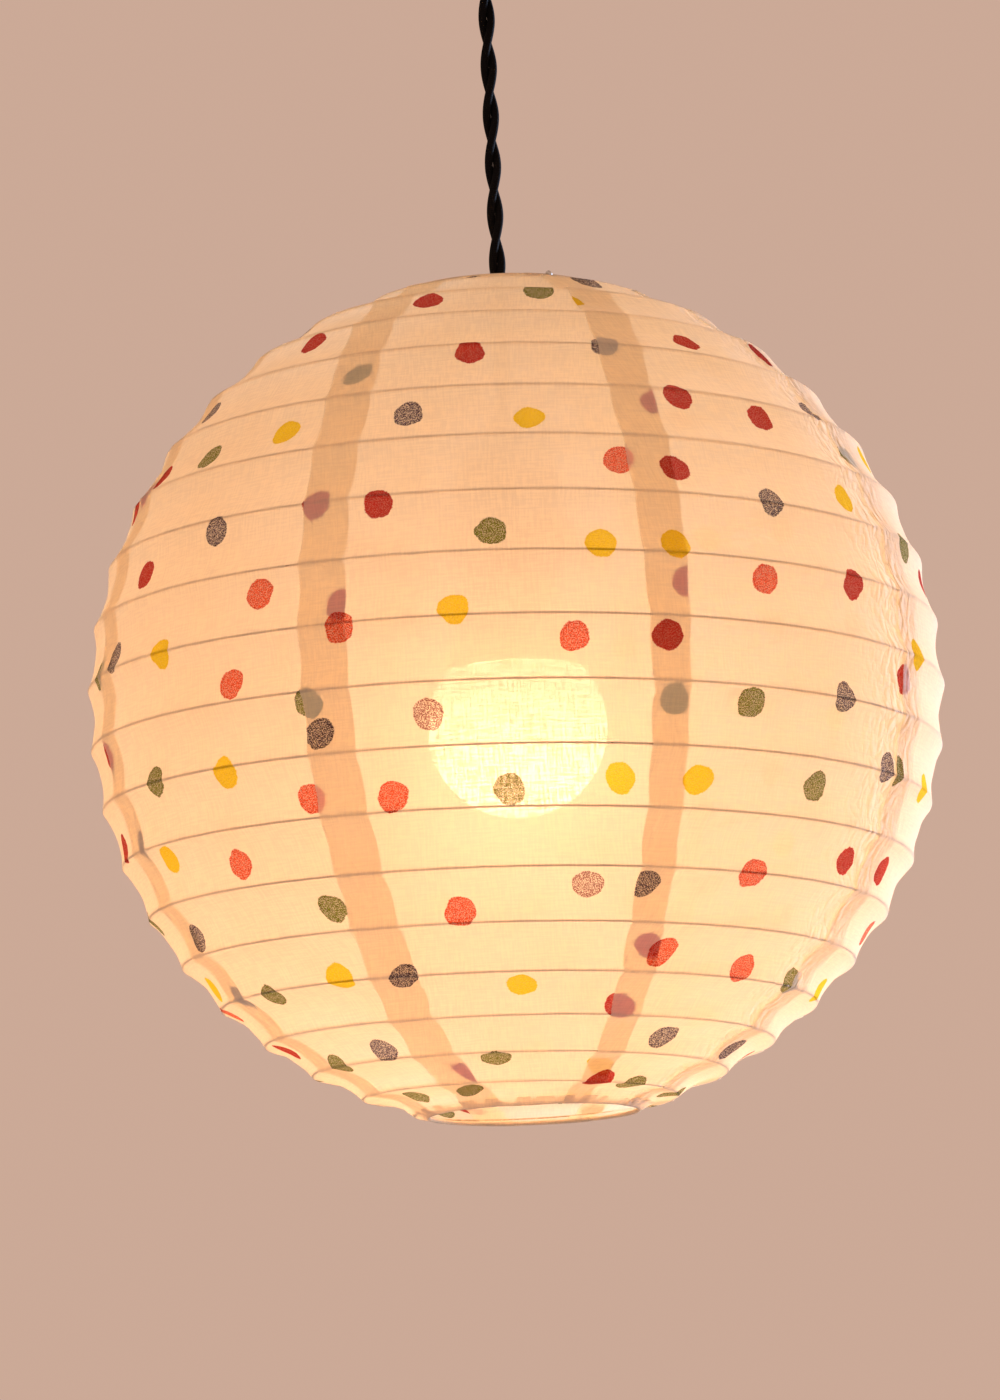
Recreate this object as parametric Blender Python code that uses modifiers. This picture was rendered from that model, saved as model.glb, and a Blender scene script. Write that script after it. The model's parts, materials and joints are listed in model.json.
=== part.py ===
"""Round cloth lantern on a twisted flex: ceiling rose, flex, lampholder, globe bulb and folding shade.

The origin is on the ceiling, at the centre of the rose. +Z points up and the front is -Y.
"""

import math

import bmesh
import bpy
from mathutils import Matrix, Vector

COLLECTION = "cloth_lantern"

# Shade: eight lapped cloth gores over one spiral rib wire, between two end rings
SHADE_Z = -0.340
SHADE_RADIUS = 0.175
GORES = 8
FIRST_SEAM = -25.0
SEAM_LAP = 0.020
CLOTH = 0.0004
LAP_STEP = 0.0012
GORE_TOP = 72.6
GORE_BOTTOM = -74.3
GORE_ROWS = 20
GORE_COLUMNS = 7
TOP_RING_RADIUS = 0.046
BOTTOM_RING_RADIUS = 0.0428
RING_WIRE = 0.0011
RIB_WIRE = 0.0008
RIB_RADIUS = 0.1717
RIB_MIDDLE = 1.0
RIB_PITCH = 8.2
RIB_CLOSING = 0.052
RIB_FIRST_TURN = -8.35
RIB_LAST_TURN = 9.8
RIB_STEPS = 20

# Flex
FLEX_RADIUS = 0.00345
FLEX_TOP = -0.0284
FLEX_BOTTOM = SHADE_Z + 0.11055
FLEX_POINTS = 11

# Rose
ROSE_RADIUS = 0.038
ROSE_HEIGHT = 0.032
ROSE_WALL = 0.0022
BASE_RADIUS = 0.0352
BASE_THICKNESS = 0.007
ROSE_SCREW_X = 0.026
OUTLET_RADIUS = 0.0048

# Carrier: washer on the lampholder, with arms up to the top ring
ARMS = 3
FIRST_ARM = 56.5
ARM_WIRE = 0.0010
HOOK_RADIUS = 0.0027

# Bulb
GLOBE_RADIUS = 0.0368
GLOBE_DROP = -0.0111
GLOBE_WALL = 0.0013
GLOBE_MOUTH = 0.0120

GAP = 0.0004
SIDES = 20
MERGE = 0.00001


def clear_scene():
    for old in list(bpy.data.objects):
        bpy.data.objects.remove(old, do_unlink=True)


def new_collection(name):
    made = bpy.data.collections.new(name)
    bpy.context.scene.collection.children.link(made)
    return made


def new_material(name, colour, roughness, metallic=0.0):
    made = bpy.data.materials.new(name)
    made.use_nodes = True
    shader = made.node_tree.nodes["Principled BSDF"]
    shader.inputs["Base Color"].default_value = (*colour, 1.0)
    shader.inputs["Roughness"].default_value = roughness
    shader.inputs["Metallic"].default_value = metallic
    made.diffuse_color = (*colour, 1.0)
    return made


clear_scene()
PARTS = new_collection(COLLECTION)
CUTTERS = new_collection("cutters")
BLACK_PLASTIC = new_material("black_plastic", (0.02, 0.02, 0.02), 0.42)
WHITE_CERAMIC = new_material("white_ceramic", (0.82, 0.80, 0.75), 0.35)
GREY_PLASTIC = new_material("grey_plastic", (0.55, 0.55, 0.53), 0.5)
WHITE_PLASTIC = new_material("white_plastic", (0.85, 0.84, 0.80), 0.4)
OPAL = new_material("opal", (0.96, 0.92, 0.80), 0.35)
BRASS = new_material("brass", (0.78, 0.58, 0.26), 0.3, 1.0)
NICKEL = new_material("nickel", (0.75, 0.73, 0.70), 0.3, 1.0)
WIRE = new_material("coated_wire", (0.45, 0.43, 0.36), 0.45, 0.4)
FLEX = new_material("black_braid", (0.015, 0.014, 0.013), 0.8)
CLOTH_DYE = new_material("spotted_cloth", (0.90, 0.66, 0.38), 0.85)
BOARD = new_material("circuit_board", (0.10, 0.30, 0.16), 0.5)


def add_object(name, data, material, collection=PARTS):
    made = bpy.data.objects.new(name, data)
    if material:
        made.data.materials.clear()
        made.data.materials.append(material)
    collection.objects.link(made)
    return made


def shade_smooth(mesh):
    mesh.shade_smooth()
    mesh.set_sharp_from_angle(angle=math.radians(35.0))


def turned(name, profile, material, z=0.0, sides=SIDES, closed=True):
    """Turns a profile of (radius, height) points about Z. It runs down its outer side first."""
    count = len(profile)
    edges = [(i, i + 1) for i in range(count - 1)]
    if closed:
        edges.append((count - 1, 0))
    mesh = bpy.data.meshes.new(name)
    mesh.from_pydata([(radius, 0.0, height) for radius, height in profile], edges, [])
    made = add_object(name, mesh, material)
    made.location.z = z
    screw = made.modifiers.new("turn", "SCREW")
    screw.steps = sides
    screw.render_steps = sides
    screw.use_merge_vertices = True
    screw.merge_threshold = MERGE
    screw.use_smooth_shade = True
    return made


def block(name, size, place, material, bevel=0.0):
    mesh = bpy.data.meshes.new(name)
    shape = bmesh.new()
    bmesh.ops.create_cube(shape, size=1.0)
    bmesh.ops.scale(shape, vec=size, verts=shape.verts)
    shape.to_mesh(mesh)
    shape.free()
    made = add_object(name, mesh, material)
    made.location = place
    if bevel:
        edge = made.modifiers.new("bevel", "BEVEL")
        edge.width = bevel
        edge.segments = 1
    return made


def cylinder(name, radius, top, bottom, place, material, sides=12, collection=PARTS):
    mesh = bpy.data.meshes.new(name)
    shape = bmesh.new()
    bmesh.ops.create_cone(
        shape, cap_ends=True, segments=sides, radius1=radius, radius2=radius, depth=top - bottom
    )
    shape.to_mesh(mesh)
    shape.free()
    made = add_object(name, mesh, material, collection)
    made.location = (place[0], place[1], (top + bottom) / 2)
    return made


def wire(name, points, radius, material, sides_step=0, cyclic=False, thickness=None):
    """A round wire through the points, with 4 sides at sides_step 0 and 8 at 2."""
    curve = bpy.data.curves.new(name, "CURVE")
    curve.dimensions = "3D"
    curve.bevel_depth = radius
    curve.bevel_resolution = sides_step
    curve.use_fill_caps = not cyclic
    spline = curve.splines.new("POLY")
    spline.points.add(len(points) - 1)
    for index, point in enumerate(points):
        spline.points[index].co = (*point, 1.0)
        spline.points[index].radius = thickness[index] if thickness else 1.0
    spline.use_cyclic_u = cyclic
    return add_object(name, curve, material)


def as_mesh(curve_object):
    """The same wire as a welded mesh object."""
    bpy.context.view_layer.update()
    graph = bpy.context.evaluated_depsgraph_get()
    mesh = bpy.data.meshes.new_from_object(curve_object.evaluated_get(graph))
    shape = bmesh.new()
    shape.from_mesh(mesh)
    bmesh.ops.remove_doubles(shape, verts=shape.verts, dist=MERGE)
    shape.to_mesh(mesh)
    shape.free()
    made = bpy.data.objects.new(curve_object.name + "_mesh", mesh)
    made.matrix_world = curve_object.matrix_world
    CUTTERS.objects.link(made)
    bpy.data.objects.remove(curve_object, do_unlink=True)
    return made


def boolean(target, tool, operation):
    change = target.modifiers.new(operation.lower(), "BOOLEAN")
    change.operation = operation
    change.object = tool
    tool.hide_render = True
    tool.display_type = "WIRE"


def on_shade(longitude, latitude, radius):
    """A point of the shade. Longitude 0 is the front, and it grows to the right, seen from there."""
    turn = math.radians(longitude)
    rise = math.radians(latitude)
    flat = radius * math.cos(rise)
    return Vector((flat * math.sin(turn), -flat * math.cos(turn), radius * math.sin(rise)))


def gore_place(column, row):
    """Longitude from the gore's middle, latitude and radius of one point of its grid.

    A gore falls by LAP_STEP from its left edge, which lies outside, to its right edge.
    """
    latitude = GORE_BOTTOM + (GORE_TOP - GORE_BOTTOM) * row / GORE_ROWS
    lap = math.degrees(SEAM_LAP / (SHADE_RADIUS * math.cos(math.radians(latitude))))
    span = 360.0 / GORES
    if column == 0:
        across = 0.0
    elif column == GORE_COLUMNS:
        across = span + lap
    else:
        across = lap + (span - lap) * (column - 1) / (GORE_COLUMNS - 2)
    radius = SHADE_RADIUS - LAP_STEP * across / (span + lap)
    return across - (span + lap) / 2, latitude, radius


def gore(number):
    """One cloth panel, cut as a boat shape with a lap on both sides."""
    middle = FIRST_SEAM + (number - 0.5) * 360.0 / GORES
    mesh = bpy.data.meshes.new(f"gore_{number}")
    shape = bmesh.new()
    bmesh.ops.create_grid(
        shape, x_segments=GORE_COLUMNS, y_segments=GORE_ROWS, size=1.0
    )
    for vert in shape.verts:
        column = round((vert.co.x + 1) / 2 * GORE_COLUMNS)
        row = round((vert.co.y + 1) / 2 * GORE_ROWS)
        longitude, latitude, radius = gore_place(column, row)
        vert.co = on_shade(middle + longitude, latitude, radius)
    bmesh.ops.recalc_face_normals(shape, faces=shape.faces)
    first = next(iter(shape.faces))
    if first.normal.dot(first.calc_center_median()) < 0:
        bmesh.ops.reverse_faces(shape, faces=shape.faces)
    shape.to_mesh(mesh)
    shape.free()
    made = add_object(f"gore_{number}", mesh, CLOTH_DYE)
    made.location.z = SHADE_Z
    shell = made.modifiers.new("cloth", "SOLIDIFY")
    shell.thickness = CLOTH
    shell.offset = -1.0
    shade_smooth(mesh)


def rib_latitude(turn):
    return RIB_MIDDLE - RIB_PITCH * turn + RIB_CLOSING * turn * turn


def rib_spiral():
    """One wire wound down round the shade, falling to the right as seen from outside."""
    count = round((RIB_LAST_TURN - RIB_FIRST_TURN) * RIB_STEPS)
    points = []
    for step in range(count + 1):
        turn = RIB_FIRST_TURN + (RIB_LAST_TURN - RIB_FIRST_TURN) * step / count
        points.append(on_shade(360.0 * turn, rib_latitude(turn), RIB_RADIUS))
    made = wire("rib_spiral", points, RIB_WIRE, WIRE)
    made.location.z = SHADE_Z


def ring_height(radius):
    return math.sqrt(SHADE_RADIUS**2 - radius**2)


def end_ring(name, radius, height):
    steps = 36
    points = [
        (radius * math.cos(math.tau * i / steps), radius * math.sin(math.tau * i / steps), 0.0)
        for i in range(steps)
    ]
    made = wire(name, points, RING_WIRE, WIRE, sides_step=1, cyclic=True)
    made.location.z = SHADE_Z + height


def carrier_arm(number):
    """A wire from inside the washer out and up to a hook over the top ring."""
    turn = Matrix.Rotation(math.radians(FIRST_ARM + 360.0 * number / ARMS), 4, "Z")
    outline = [(0.0228, 0.0741), (0.0272, 0.0741), (0.0300, 0.0765), (0.0318, 0.0830)]
    outline += [(0.0405, 0.1500), (0.0425, 0.1630)]
    height = ring_height(TOP_RING_RADIUS)
    for angle in (170, 140, 110, 80, 50, 20, -10):
        around = math.radians(angle)
        outline.append(
            (
                TOP_RING_RADIUS + HOOK_RADIUS * math.cos(around),
                height + HOOK_RADIUS * math.sin(around),
            )
        )
    points = [turn @ Vector((radius, 0.0, up)) for radius, up in outline]
    return as_mesh(wire(f"arm_{number}", points, ARM_WIRE, NICKEL, sides_step=1))


def shade_carrier():
    """The wire spider that hangs the shade from the lampholder."""
    profile = [(0.0207, 0.0756), (0.0247, 0.0756), (0.0247, 0.0726), (0.0207, 0.0726)]
    made = turned("shade_carrier", profile, NICKEL, SHADE_Z)
    for number in range(ARMS):
        arm = carrier_arm(number)
        arm.location.z = SHADE_Z
        boolean(made, arm, "UNION")


def rose_base():
    made = cylinder(
        "rose_base", BASE_RADIUS, 0.0, -BASE_THICKNESS, (0, 0), BLACK_PLASTIC, sides=32
    )
    holes = [("base_hole_left", -ROSE_SCREW_X, 0.0, 0.0023)]
    holes += [("base_hole_right", ROSE_SCREW_X, 0.0, 0.0023)]
    holes += [("cable_entry", 0.0, 0.019, 0.0060)]
    for name, x, y, radius in holes:
        hole = cylinder(name, radius, 0.01, -0.02, (x, y), None, sides=12, collection=CUTTERS)
        boolean(made, hole, "DIFFERENCE")


def rose_cover():
    """A cup over the base, with a rounded lower edge and the flex outlet in its middle."""
    rim = -0.0006
    outer, floor, wall = ROSE_RADIUS, -ROSE_HEIGHT, ROSE_WALL
    profile = [(outer, rim), (outer, floor + 0.009), (outer - 0.0025, floor + 0.003)]
    profile += [(outer - 0.0085, floor), (OUTLET_RADIUS, floor), (OUTLET_RADIUS, floor + wall)]
    profile += [(outer - 0.0090, floor + wall), (outer - wall, floor + 0.010)]
    profile += [(outer - wall, rim)]
    turned("rose_cover", profile, BLACK_PLASTIC, sides=36)


def screw(name, x, y, head_bottom, head_radius, head_depth, shank_radius, tip, material):
    """A pan head screw that points up."""
    top = head_bottom + head_depth
    profile = [(0.0, tip), (shank_radius, tip), (shank_radius, top), (head_radius, top)]
    profile += [(head_radius, head_bottom + head_depth * 0.4)]
    profile += [(head_radius * 0.7, head_bottom), (0.0, head_bottom)]
    made = turned(name, profile, material, sides=12, closed=False)
    made.location = (x, y, 0.0)


def rose_fittings():
    for side, x in (("left", -ROSE_SCREW_X), ("right", ROSE_SCREW_X)):
        screw(f"rose_screw_{side}", x, 0, -0.0099, 0.0038, 0.0026, 0.0018, -0.0006, NICKEL)
    bottom = -0.0185
    top = -BASE_THICKNESS - GAP
    block(
        "rose_terminal_block",
        (0.026, 0.012, top - bottom),
        (0, -0.020, (top + bottom) / 2),
        WHITE_PLASTIC,
        bevel=0.0008,
    )
    for side, x in (("left", -0.007), ("right", 0.007)):
        cylinder(
            f"rose_terminal_screw_{side}", 0.0021, bottom - GAP, bottom - 0.002, (x, -0.020), BRASS
        )
    profile = [(0.0090, top), (0.0090, -0.0130), (0.0065, -0.0185), (0.0062, -0.0280)]
    profile += [(0.0040, -0.0280), (0.0040, top)]
    turned("rose_cord_grip", profile, BLACK_PLASTIC, sides=16)


def twisted_flex():
    """A straight tube over both twisted strands. Its round ends are centred on the pivots."""
    ends = [math.radians(angle) for angle in (85.0, 60.0, 30.0)]
    upper = FLEX_TOP - FLEX_RADIUS
    lower = FLEX_BOTTOM + FLEX_RADIUS
    heights = [upper + FLEX_RADIUS * math.sin(angle) for angle in ends]
    thickness = [math.cos(angle) for angle in ends]
    for step in range(FLEX_POINTS):
        heights.append(upper + (lower - upper) * step / (FLEX_POINTS - 1))
        thickness.append(1.0)
    heights += [lower - FLEX_RADIUS * math.sin(angle) for angle in reversed(ends)]
    thickness += [math.cos(angle) for angle in reversed(ends)]
    points = [(0.0, 0.0, height) for height in heights]
    wire("twisted_flex", points, FLEX_RADIUS, FLEX, sides_step=2, thickness=thickness)


def lampholder():
    cap = [(0.0064, 0.1077), (0.0100, 0.1077), (0.0150, 0.1055), (0.0190, 0.1010)]
    cap += [(0.0215, 0.0940), (0.0215, 0.0843), (0.0193, 0.0843), (0.0193, 0.0935)]
    cap += [(0.0170, 0.0993), (0.0135, 0.1033), (0.0095, 0.1053), (0.0064, 0.1053)]
    turned("holder_cap", cap, BLACK_PLASTIC, SHADE_Z)
    grip = [(0.0056, 0.1180), (0.0074, 0.1180), (0.0086, 0.1100), (0.0086, 0.1081)]
    grip += [(0.0060, 0.1081), (0.0060, 0.1020), (0.0040, 0.1020), (0.0040, 0.1140)]
    turned("holder_cord_grip", grip, BLACK_PLASTIC, SHADE_Z, sides=16)
    shell = [(0.0215, 0.0840), (0.0215, 0.0806), (0.0230, 0.0800), (0.0230, 0.0762)]
    shell += [(0.0200, 0.0762), (0.0200, 0.0448), (0.0195, 0.0440), (0.0176, 0.0440)]
    shell += [(0.0176, 0.0840)]
    turned("holder_shell", shell, BLACK_PLASTIC, SHADE_Z)
    insulator = [(0.0, 0.0836), (0.0162, 0.0836), (0.0172, 0.0826), (0.0172, 0.0724), (0.0, 0.0724)]
    turned("holder_insulator", insulator, WHITE_CERAMIC, SHADE_Z, closed=False)
    liner = [(0.0142, 0.0720), (0.0142, 0.0482), (0.0148, 0.0470), (0.0143, 0.0468)]
    liner += [(0.0137, 0.0481), (0.0137, 0.0720)]
    turned("screw_liner", liner, NICKEL, SHADE_Z)
    block("centre_contact", (0.011, 0.005, 0.0006), (0, 0, SHADE_Z + 0.07165), BRASS)
    for side, x in (("left", -0.009), ("right", 0.009)):
        cylinder(
            f"holder_terminal_{side}",
            0.0026,
            SHADE_Z + 0.0900,
            SHADE_Z + 0.0840,
            (x, 0),
            BRASS,
        )


def shade_ring_nut():
    """The screwed ring that clamps the carrier's washer up against the lampholder's shoulder."""
    profile = [(0.0204, 0.0722), (0.0265, 0.0722), (0.0275, 0.0712), (0.0275, 0.0664)]
    profile += [(0.0240, 0.0640), (0.0240, 0.0620), (0.0204, 0.0620)]
    turned("shade_ring_nut", profile, BLACK_PLASTIC, SHADE_Z)


def globe_profile():
    """Inner side from the axis up to the mouth, then the outer side down to the axis again."""
    profile = []
    steps = 8
    rim = GLOBE_MOUTH - GLOBE_DROP
    for radius, outward in ((GLOBE_RADIUS - GLOBE_WALL, True), (GLOBE_RADIUS, False)):
        mouth = math.acos(rim / radius)
        for step in range(steps + 1):
            share = step / steps if outward else 1 - step / steps
            angle = math.pi + (mouth - math.pi) * share
            flat = radius * math.sin(angle) if 0 < share else 0.0
            profile.append((flat, GLOBE_DROP + radius * math.cos(angle)))
    return profile


def bulb():
    turned("bulb_globe", globe_profile(), OPAL, SHADE_Z, closed=False)
    collar = [(0.0110, 0.0447), (0.0143, 0.0447), (0.0160, 0.0420), (0.0195, 0.0370)]
    collar += [(0.0235, 0.0300), (0.0262, 0.0220), (0.0283, 0.0150), (0.0288, 0.0124)]
    collar += [(0.0269, 0.0124), (0.0264, 0.0150), (0.0244, 0.0215), (0.0217, 0.0290)]
    collar += [(0.0178, 0.0356), (0.0142, 0.0410), (0.0110, 0.0426)]
    turned("bulb_collar", collar, GREY_PLASTIC, SHADE_Z)
    cylinder(
        "bulb_led_board", 0.0238, SHADE_Z + 0.0188, SHADE_Z + 0.0172, (0, 0), WHITE_PLASTIC, sides=20
    )
    block("bulb_driver_board", (0.0190, 0.0016, 0.0290), (0, 0, SHADE_Z + 0.0350), BOARD)
    cap = [(0.0052, 0.0660), (0.0115, 0.0660), (0.0131, 0.0645), (0.0131, 0.0451)]
    cap += [(0.0124, 0.0451), (0.0124, 0.0642), (0.0112, 0.0653), (0.0052, 0.0653)]
    turned("bulb_screw_cap", cap, NICKEL, SHADE_Z)
    glass = [(0.0, 0.0692), (0.0055, 0.0692), (0.0102, 0.0664), (0.0, 0.0664)]
    turned("bulb_insulator", glass, BLACK_PLASTIC, SHADE_Z, sides=16, closed=False)
    tip = [(0.0, 0.0710), (0.0030, 0.0709), (0.0047, 0.0703), (0.0047, 0.0696), (0.0, 0.0696)]
    turned("bulb_tip_contact", tip, NICKEL, SHADE_Z, sides=16, closed=False)


def shade():
    for number in range(1, GORES + 1):
        gore(number)
    rib_spiral()
    end_ring("top_ring", TOP_RING_RADIUS, ring_height(TOP_RING_RADIUS))
    end_ring("bottom_ring", BOTTOM_RING_RADIUS, -ring_height(BOTTOM_RING_RADIUS))
    shade_carrier()
    shade_ring_nut()


rose_base()
rose_cover()
rose_fittings()
twisted_flex()
lampholder()
bulb()
shade()
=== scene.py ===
"""Looks of a round cloth lantern: lapped cotton gores over a spiral wire, with a lit globe bulb inside.

It hangs on a twisted flex from a ceiling rose. Lengths are in metres.
"""

import json
import math

import bmesh
import bpy
import numpy as np
from mathutils import Matrix, Vector, noise


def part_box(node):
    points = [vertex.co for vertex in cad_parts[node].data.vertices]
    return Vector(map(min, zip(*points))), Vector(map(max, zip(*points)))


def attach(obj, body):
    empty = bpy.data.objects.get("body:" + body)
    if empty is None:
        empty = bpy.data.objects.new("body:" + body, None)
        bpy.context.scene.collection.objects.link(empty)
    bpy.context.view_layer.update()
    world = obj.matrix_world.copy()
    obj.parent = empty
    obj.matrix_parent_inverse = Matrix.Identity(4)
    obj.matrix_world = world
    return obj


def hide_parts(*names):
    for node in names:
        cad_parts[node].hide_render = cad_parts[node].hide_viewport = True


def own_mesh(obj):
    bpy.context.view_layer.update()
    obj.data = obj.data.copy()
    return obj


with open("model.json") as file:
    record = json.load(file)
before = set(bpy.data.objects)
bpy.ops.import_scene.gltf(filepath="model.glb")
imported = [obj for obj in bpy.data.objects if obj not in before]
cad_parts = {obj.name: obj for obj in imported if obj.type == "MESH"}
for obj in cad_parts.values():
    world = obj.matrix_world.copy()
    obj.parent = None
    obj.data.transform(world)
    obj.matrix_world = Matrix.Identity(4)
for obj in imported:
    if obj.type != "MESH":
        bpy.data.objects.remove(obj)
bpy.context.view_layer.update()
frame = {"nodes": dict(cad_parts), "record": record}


# ---------------------------------------------------------------- sizes


def ring_of(node):
    """(radius, height) of the middle of an end ring's wire, from its box."""
    low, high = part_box(node)
    wire = (high[2] - low[2]) / 2
    return (high[0] - low[0]) / 2 - wire, (high[2] + low[2]) / 2


TOP_RADIUS, TOP_Z = ring_of("top_ring")
BOTTOM_RADIUS, BOTTOM_Z = ring_of("bottom_ring")
RADIUS = 0.175
SHADE_Z = TOP_Z - math.sqrt(RADIUS**2 - TOP_RADIUS**2)

GORES = 8
# Degrees of longitude between two seams, and where the seam left of gore 1 runs
SPAN = 360.0 / GORES
FIRST_SEAM = -25.0
# Each wire's radius. The rib's outer side and a hoop's middle lie this deep under the cloth's surface
RIB_WIRE, RIB_DEPTH = 0.0004, 0.0005
HOOP_WIRE, HOOP_DEPTH = 0.0007, 0.0010
# The rib's latitude in degrees is its middle, less the pitch a turn, plus a closing that grows squared
RIB_MIDDLE, RIB_PITCH, RIB_CLOSING = 1.0, 8.2, 0.052
RIB_FIRST_TURN, RIB_LAST_TURN = -8.35, 9.8
# How deep the cloth sags between two ribs, and how much deeper a gore's right edge lies than its left
SCALLOP = 0.0024
LAP_STEP = 0.0005
# Share of that step left at the two mouths
END_LAYER = 0.4
HEM = 0.0065
DOT_RADIUS = 0.0061


# ---------------------------------------------------------------- camera


CAMERA_DISTANCE = 2.205
CAMERA_RISE = math.radians(10.1)
CAMERA_ROLL = math.radians(2.45)
CAMERA_AIM = (-0.0066, 0.0, SHADE_Z + 0.00095)


def look_from_below():
    """The camera, under the lantern's middle and turned a little, as the picture was taken."""
    data = bpy.data.cameras.new("camera")
    data.lens = 138.6
    data.sensor_width = 36.0
    data.clip_end = 50.0
    camera = bpy.data.objects.new("camera", data)
    bpy.context.scene.collection.objects.link(camera)
    ahead = Vector((0.0, math.cos(CAMERA_RISE), math.sin(CAMERA_RISE)))
    camera.rotation_mode = "QUATERNION"
    turn = ahead.to_track_quat("-Z", "Y")
    camera.rotation_quaternion = Matrix.Rotation(CAMERA_ROLL, 3, ahead).to_quaternion() @ turn
    camera.location = Vector(CAMERA_AIM) - ahead * CAMERA_DISTANCE
    bpy.context.scene.camera = camera


look_from_below()


# ---------------------------------------------------------------- mesh helpers


def new_object(name, mesh):
    made = bpy.data.objects.new(name, mesh)
    bpy.context.scene.collection.objects.link(made)
    return made


def skin(name, vertices, faces, uvs=None):
    """A smooth mesh object. uvs has one pair for each vertex."""
    mesh = bpy.data.meshes.new(name)
    mesh.from_pydata([tuple(v) for v in vertices], [], faces)
    mesh.validate()
    mesh.shade_smooth()
    if uvs is not None:
        layer = mesh.uv_layers.new(name="cloth")
        corner = np.empty(len(mesh.loops), int)
        mesh.loops.foreach_get("vertex_index", corner)
        layer.data.foreach_set("uv", np.asarray(uvs, np.float32)[corner].ravel())
    return new_object(name, mesh)


def grid_faces(rows, columns, around=False, flip=False):
    """Quads of a grid with rows x columns vertices. around joins the last column to the first."""
    faces = []
    for row in range(rows - 1):
        for column in range(columns if around else columns - 1):
            after = (column + 1) % columns
            corners = (
                row * columns + column,
                row * columns + after,
                (row + 1) * columns + after,
                (row + 1) * columns + column,
            )
            faces.append(corners[::-1] if flip else corners)
    return faces


def tube(name, points, radius, sides=10, closed=False):
    """A round tube through the points. Its ends are low cones, unless it is closed to a ring."""
    path = np.asarray(points, float)
    count = len(path)
    if closed:
        along = np.roll(path, -1, 0) - np.roll(path, 1, 0)
    else:
        along = np.gradient(path, axis=0)
    along /= np.linalg.norm(along, axis=1)[:, None]
    side = np.cross(along[0], (0.0, 0.0, 1.0))
    if np.linalg.norm(side) < 0.1:
        side = np.cross(along[0], (1.0, 0.0, 0.0))
    sides_at = []
    for tangent in along:
        side = side - tangent * side.dot(tangent)
        side /= np.linalg.norm(side)
        sides_at.append(side)
    sides_at = np.array(sides_at)
    across = np.cross(along, sides_at)
    turn = np.linspace(0, math.tau, sides, endpoint=False)
    ring = np.cos(turn)[None, :, None] * sides_at[:, None] + np.sin(turn)[None, :, None] * across[:, None]
    wide = np.full(count, radius) if np.isscalar(radius) else np.asarray(radius, float)
    vertices = (path[:, None] + ring * wide[:, None, None]).reshape(-1, 3)
    faces = grid_faces(count, sides, around=True)
    if closed:
        last = (count - 1) * sides
        faces += [
            (last + i, last + (i + 1) % sides, (i + 1) % sides, i) for i in range(sides)
        ]
    else:
        vertices = np.vstack([vertices, path[0] - along[0] * wide[0] * 0.5])
        vertices = np.vstack([vertices, path[-1] + along[-1] * wide[-1] * 0.5])
        first, last = count * sides, (count - 1) * sides
        faces += [(first, (i + 1) % sides, i) for i in range(sides)]
        faces += [(first + 1, last + i, last + (i + 1) % sides) for i in range(sides)]
    length = np.concatenate([[0.0], np.cumsum(np.linalg.norm(np.diff(path, axis=0), axis=1))])
    uvs = [(length[i], turn[j] / math.tau) for i in range(count) for j in range(sides)]
    uvs += [(0.0, 0.0)] * (len(vertices) - len(uvs))
    return skin(name, vertices, faces, uvs)


def rounded(profile, radius, closed=True, steps=3):
    """The profile with each corner cut by a short curve."""
    points = [Vector(point) for point in profile]
    count = len(points)
    made = []
    for index, point in enumerate(points):
        before, after = points[index - 1], points[(index + 1) % count]
        if not closed and index in (0, count - 1):
            made.append(tuple(point))
            continue
        back, on = before - point, after - point
        reach = min(radius, back.length * 0.45, on.length * 0.45)
        start, end = point + back.normalized() * reach, point + on.normalized() * reach
        for step in range(steps + 1):
            t = step / steps
            made.append(tuple(start * (1 - t) ** 2 + point * 2 * t * (1 - t) + end * t**2))
    return made


def lathe(name, profile, z=0.0, closed=True, sides=96, relief=None):
    """Turns (radius, height) points about Z. relief(radius, height, angle) is added to the radius."""
    vertices = []
    for radius, height in profile:
        for step in range(sides):
            angle = math.tau * step / sides
            more = relief(radius, height, angle) if relief and radius > 1e-5 else 0.0
            wide = radius + more
            vertices.append((wide * math.cos(angle), wide * math.sin(angle), z + height))
    faces = grid_faces(len(profile), sides, around=True, flip=True)
    if closed:
        last = (len(profile) - 1) * sides
        faces += [
            (i, (i + 1) % sides, last + (i + 1) % sides, last + i) for i in range(sides)
        ]
    made = skin(name, vertices, faces)
    weld(made)
    made.data.set_sharp_from_angle(angle=math.radians(40.0))
    return made


def weld(obj, distance=1e-6, closed=True):
    """Merges points that lie together. A closed shape's faces are turned outwards."""
    shape = bmesh.new()
    shape.from_mesh(obj.data)
    bmesh.ops.remove_doubles(shape, verts=shape.verts, dist=distance)
    bmesh.ops.dissolve_degenerate(shape, edges=shape.edges, dist=distance)
    if closed:
        bmesh.ops.recalc_face_normals(shape, faces=shape.faces)
    shape.to_mesh(obj.data)
    shape.free()


# ---------------------------------------------------------------- material helpers


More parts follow.
